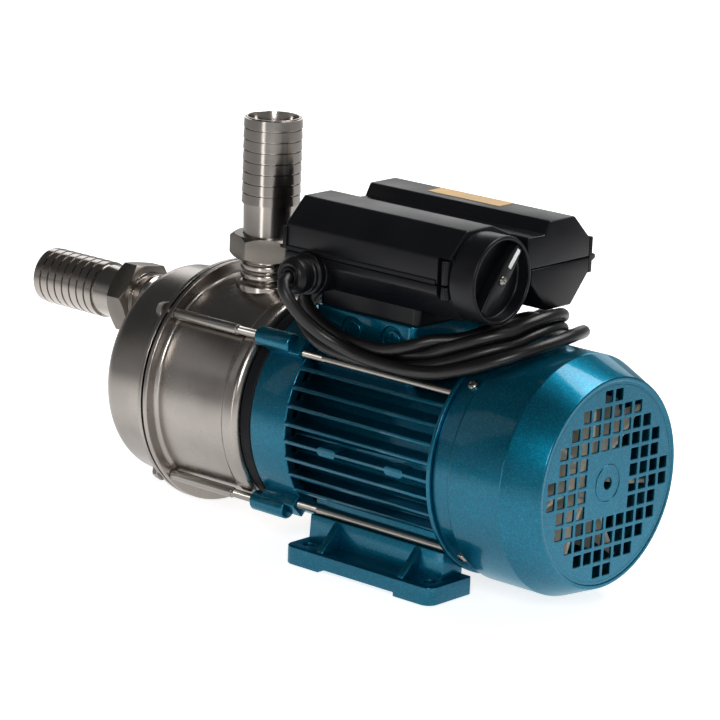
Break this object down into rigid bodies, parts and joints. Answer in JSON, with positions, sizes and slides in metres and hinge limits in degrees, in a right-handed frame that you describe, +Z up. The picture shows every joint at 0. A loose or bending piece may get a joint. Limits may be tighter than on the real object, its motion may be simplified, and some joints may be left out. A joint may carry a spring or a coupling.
{
  "type": "transfer_pump",
  "caption": "Self-priming transfer pump with ribbed suction and outlet tails, foot-mounted finned motor, fan cover, twin-bay switch box and a mains cord wound round its pedestal.",
  "frame": {"origin": "centre of the bounding box without the cord, at the underside of the feet", "axes": "+X from the pump towards the fan along the shaft, -Y the near side with the cable gland, +Z up"},
  "size_m": [0.4406, 0.197, 0.238],
  "materials": {
    "black_plastic": "moulded, semi-gloss",
    "black_ring": "moulded, satin",
    "black_rubber": "soft matt jacket",
    "bright_zinc": "bright zinc plate",
    "bronze": "as cast and machined",
    "brushed_nut_steel": "machined, fine turned grain",
    "capacitor_white": "plain",
    "ceramic_seat": "lapped",
    "copper_winding": "varnished winding",
    "fan_aluminium": "as cast, slightly warm",
    "lamination_steel": "laminated",
    "metallic_teal_paint": "metallic paint, semi-gloss",
    "seal_rubber": "plain",
    "shaft_steel": "ground",
    "stainless": "satin to polished stainless steel"
  },
  "bodies": {
    "pump": {"adapter": "metallic_teal_paint", "adapter_ring": "black_ring", "back_plate": "stainless", "box_base": "black_plastic", "box_latch": "black_plastic", "box_lid": "black_plastic", "capacitor": "capacitor_white", "cord_coil": "black_rubber", "cord_lead": "black_rubber", "cord_tail": "black_rubber", "end_shield": "metallic_teal_paint", "fan_cover": "metallic_teal_paint", "far_foot": "metallic_teal_paint", "front_bearing": "shaft_steel", "front_shell": "stainless", "gland_body": "black_plastic", "gland_nut": "black_plastic", "motor_bolt_1": "bright_zinc", "motor_bolt_2": "bright_zinc", "motor_bolt_3": "bright_zinc", "motor_bolt_4": "bright_zinc", "motor_housing": "metallic_teal_paint", "near_foot": "metallic_teal_paint", "outlet_nut": "brushed_nut_steel", "outlet_seal": "seal_rubber", "outlet_socket": "stainless", "outlet_tail": "stainless", "plug": "black_rubber", "port_plate": "stainless", "rear_bearing": "shaft_steel", "rear_shell": "stainless", "seal_seat": "ceramic_seat", "shell_gasket": "seal_rubber", "stator": "copper_winding", "stud_nut_1": "bright_zinc", "stud_nut_2": "bright_zinc", "stud_nut_3": "bright_zinc", "stud_nut_4": "bright_zinc", "suction_nut": "brushed_nut_steel", "suction_seal": "seal_rubber", "suction_socket": "stainless", "suction_tail": "stainless", "switch_body": "black_plastic", "switch_drum": "black_plastic", "terminal_block": "black_plastic", "tie_stud_1": "bright_zinc", "tie_stud_2": "bright_zinc", "tie_stud_3": "bright_zinc", "tie_stud_4": "bright_zinc"},
    "rotor": {"impeller": "bronze", "shaft_nut": "stainless", "seal_head": "stainless", "shaft": "shaft_steel", "rotor_core": "lamination_steel", "fan": "fan_aluminium"},
    "switch": {"switch_lever": "black_plastic", "switch_spindle": "bright_zinc", "lever_screw": "bright_zinc"}
  },
  "joints": [
    {"name": "rotor_spin", "type": "hinge", "parent": "pump", "child": "rotor", "pos_m": [0, 0, 0.0735], "axis": [1, 0, 0], "continuous": true},
    {"name": "switch_turn", "type": "hinge", "parent": "pump", "child": "switch", "pos_m": [0.1616, -0.028, 0.1805], "axis": [1, 0, 0], "range_deg": [0, 120]}
  ]
}
